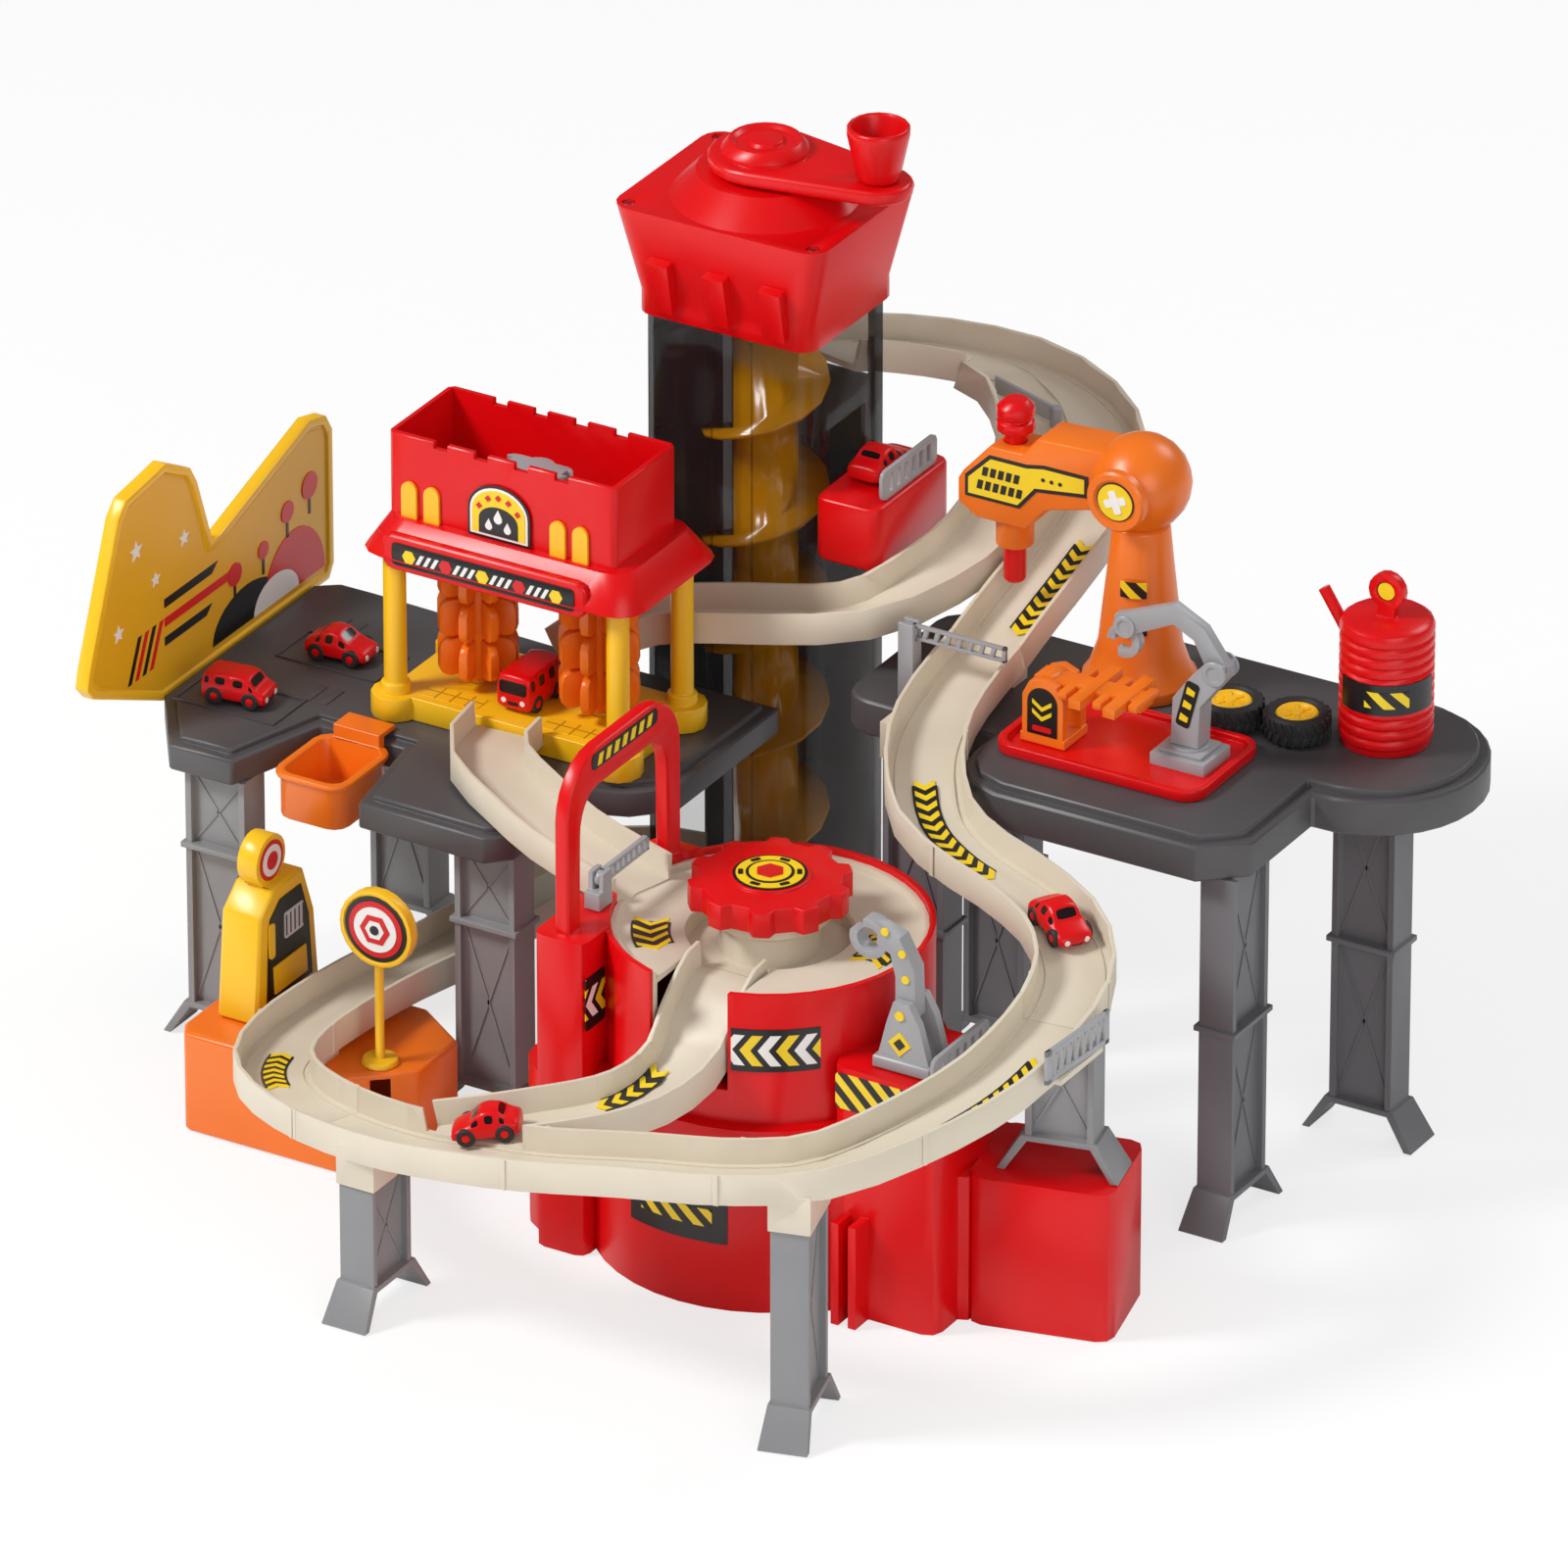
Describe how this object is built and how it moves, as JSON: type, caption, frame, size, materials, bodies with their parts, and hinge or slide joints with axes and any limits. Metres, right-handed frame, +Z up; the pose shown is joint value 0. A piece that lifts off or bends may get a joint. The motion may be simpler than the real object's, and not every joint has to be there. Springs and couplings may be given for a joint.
{
  "type": "toy parking garage",
  "caption": "Toy parking garage with a crank-driven spiral lift, winding car lanes, wash station, turning drum, repair deck and loose mini cars.",
  "frame": {"origin": "on the floor under the axis of the lift tower", "axes": "+X to the right along the fronts, +Y to the back, +Z up"},
  "size_m": [0.6822, 0.6033, 0.4923],
  "materials": {
    "red_plastic": "glossy moulded",
    "smoke_plastic": "clear smoked",
    "amber_plastic": "clear amber",
    "cream_plastic": "satin moulded",
    "deck_plastic": "satin moulded",
    "grey_plastic": "satin moulded",
    "light_grey_plastic": "satin moulded",
    "yellow_plastic": "glossy moulded",
    "orange_plastic": "glossy moulded",
    "black_plastic": "matt moulded"
  },
  "bodies": {
    "frame": {"drum_base": "red_plastic", "drum_tray": "cream_plastic", "fuel_pump": "yellow_plastic", "gate_post_left": "light_grey_plastic", "gate_post_right": "light_grey_plastic", "left_deck": "deck_plastic", "loader_base": "light_grey_plastic", "orange_base": "orange_plastic", "pillar_box": "light_grey_plastic", "pillar_deck_front": "grey_plastic", "pillar_deck_right": "grey_plastic", "pillar_gate": "grey_plastic", "pillar_lane_front": "light_grey_plastic", "pillar_lane_loop": "light_grey_plastic", "pillar_left_back": "light_grey_plastic", "pillar_left_front": "light_grey_plastic", "pillar_middle_front": "light_grey_plastic", "pillar_wing": "grey_plastic", "repair_tray": "red_plastic", "right_deck": "deck_plastic", "robot_body": "orange_plastic", "round_sign": "yellow_plastic", "side_box": "red_plastic", "side_rail": "light_grey_plastic", "sign_board": "yellow_plastic", "tipper_stand": "orange_plastic", "tower_cap": "red_plastic", "tower_shell": "smoke_plastic", "track_front": "cream_plastic", "track_loop": "cream_plastic", "track_s": "cream_plastic", "track_upper": "cream_plastic", "wash_base": "yellow_plastic", "wash_roof": "red_plastic"},
    "crank": {"crank_arm": "red_plastic", "lift_auger": "amber_plastic"},
    "knob": {"crank_knob": "red_plastic"},
    "flap": {"track_diverter": "grey_plastic"},
    "drum_gear": {"gear_knob": "red_plastic"},
    "wash_key": {"wash_handle": "grey_plastic"},
    "brush_left": {"roller_left": "orange_plastic"},
    "brush_right": {"roller_right": "orange_plastic"},
    "left_boom": {"boom_left": "grey_plastic"},
    "right_boom": {"boom_right": "grey_plastic"},
    "loader": {"loader_arm": "light_grey_plastic"},
    "tipper": {"tipper_beam": "orange_plastic"},
    "crane": {"crane_post": "light_grey_plastic"},
    "jib": {"crane_arm": "light_grey_plastic"},
    "robot": {"robot_arm": "orange_plastic"},
    "probe": {"robot_probe": "red_plastic"},
    "bin": {"parts_bin": "orange_plastic"},
    "left_tyre": {"tyre_left": "black_plastic"},
    "right_tyre": {"tyre_right": "black_plastic"},
    "barrel": {"oil_drum": "red_plastic"},
    "van": {"deck_van": "red_plastic"},
    "parked_car": {"deck_car": "red_plastic"},
    "bus": {"wash_bus": "red_plastic"},
    "landing_car": {"roof_car": "red_plastic"},
    "corner_car": {"slope_car": "red_plastic"},
    "lane_car": {"front_car": "red_plastic"}
  },
  "joints": [
    {"name": "crank_turn", "type": "hinge", "parent": "frame", "child": "crank", "pos_m": [0, 0, 0.454], "axis": [0, 0, 1], "continuous": true},
    {"name": "knob_spin", "type": "hinge", "parent": "crank", "child": "knob", "pos_m": [0.067, 0, 0.462], "axis": [0, 0, 1], "continuous": true},
    {"name": "flap_swing", "type": "hinge", "parent": "frame", "child": "flap", "pos_m": [0.117, 0.098, 0.3], "axis": [0, 0, 1], "range_deg": [-22, 9]},
    {"name": "gear_turn", "type": "hinge", "parent": "frame", "child": "drum_gear", "pos_m": [0.1556, -0.2592, 0.187], "axis": [0, 0, 1], "continuous": true},
    {"name": "key_turn", "type": "hinge", "parent": "frame", "child": "wash_key", "pos_m": [-0.062, -0.125, 0.289], "axis": [0, 0, 1], "continuous": true},
    {"name": "brush_left_turn", "type": "hinge", "parent": "frame", "child": "brush_left", "pos_m": [-0.0985, -0.125, 0.2], "axis": [0, 0, 1], "continuous": true},
    {"name": "brush_right_turn", "type": "hinge", "parent": "frame", "child": "brush_right", "pos_m": [-0.0255, -0.125, 0.2], "axis": [0, 0, 1], "continuous": true},
    {"name": "left_boom_lift", "type": "hinge", "parent": "frame", "child": "left_boom", "pos_m": [0.076, -0.293, 0.194], "axis": [1, 0, 0], "range_deg": [0, 80]},
    {"name": "right_boom_lift", "type": "hinge", "parent": "frame", "child": "right_boom", "pos_m": [0.135, -0.084, 0.258], "axis": [0, -1, 0], "range_deg": [0, 80]},
    {"name": "loader_tilt", "type": "hinge", "parent": "frame", "child": "loader", "pos_m": [0.26, -0.298, 0.174], "axis": [0, 1, 0], "range_deg": [-25, 30]},
    {"name": "tipper_tilt", "type": "hinge", "parent": "frame", "child": "tipper", "pos_m": [0.228, -0.098, 0.2603], "axis": [0, 1, 0], "range_deg": [-10, 15]},
    {"name": "crane_swivel", "type": "hinge", "parent": "frame", "child": "crane", "pos_m": [0.3, -0.085, 0.224], "axis": [0, 0, 1], "range_deg": [-70, 70]},
    {"name": "jib_lift", "type": "hinge", "parent": "crane", "child": "jib", "pos_m": [0.317, -0.085, 0.283], "axis": [0, 1, 0], "range_deg": [-14, 22]},
    {"name": "robot_swivel", "type": "hinge", "parent": "frame", "child": "robot", "pos_m": [0.233, -0.018, 0.339], "axis": [0, 0, 1], "range_deg": [-30, 50]},
    {"name": "probe_press", "type": "slide", "parent": "robot", "child": "probe", "axis": [0, 0, -1], "range_m": [0, 0.005], "stiffness_N_per_m": 250, "springref_m": -0.002},
    {"name": "bin_lift", "type": "slide", "parent": "frame", "child": "bin", "axis": [0, 0, 1], "range_m": [0, 0.06]},
    {"name": "left_tyre_lift", "type": "slide", "parent": "frame", "child": "left_tyre", "axis": [0, 0, 1], "range_m": [0, 0.05]},
    {"name": "right_tyre_lift", "type": "slide", "parent": "frame", "child": "right_tyre", "axis": [0, 0, 1], "range_m": [0, 0.05]},
    {"name": "barrel_lift", "type": "slide", "parent": "frame", "child": "barrel", "axis": [0, 0, 1], "range_m": [0, 0.08]},
    {"name": "van_lift", "type": "slide", "parent": "frame", "child": "van", "axis": [0, 0, 1], "range_m": [0, 0.06]},
    {"name": "parked_car_lift", "type": "slide", "parent": "frame", "child": "parked_car", "axis": [0, 0, 1], "range_m": [0, 0.06]},
    {"name": "bus_drive", "type": "slide", "parent": "frame", "child": "bus", "axis": [0, -1, 0], "range_m": [0, 0.03]},
    {"name": "landing_car_lift", "type": "slide", "parent": "frame", "child": "landing_car", "axis": [0, 0, 1], "range_m": [0, 0.05]},
    {"name": "corner_car_lift", "type": "slide", "parent": "frame", "child": "corner_car", "axis": [0, 0, 1], "range_m": [0, 0.06]},
    {"name": "lane_car_lift", "type": "slide", "parent": "frame", "child": "lane_car", "axis": [0, 0, 1], "range_m": [0, 0.06]}
  ],
  "couplings": [
    {"joint": "brush_left_turn", "follows": "key_turn", "ratio": -1},
    {"joint": "brush_right_turn", "follows": "key_turn", "ratio": -1}
  ]
}
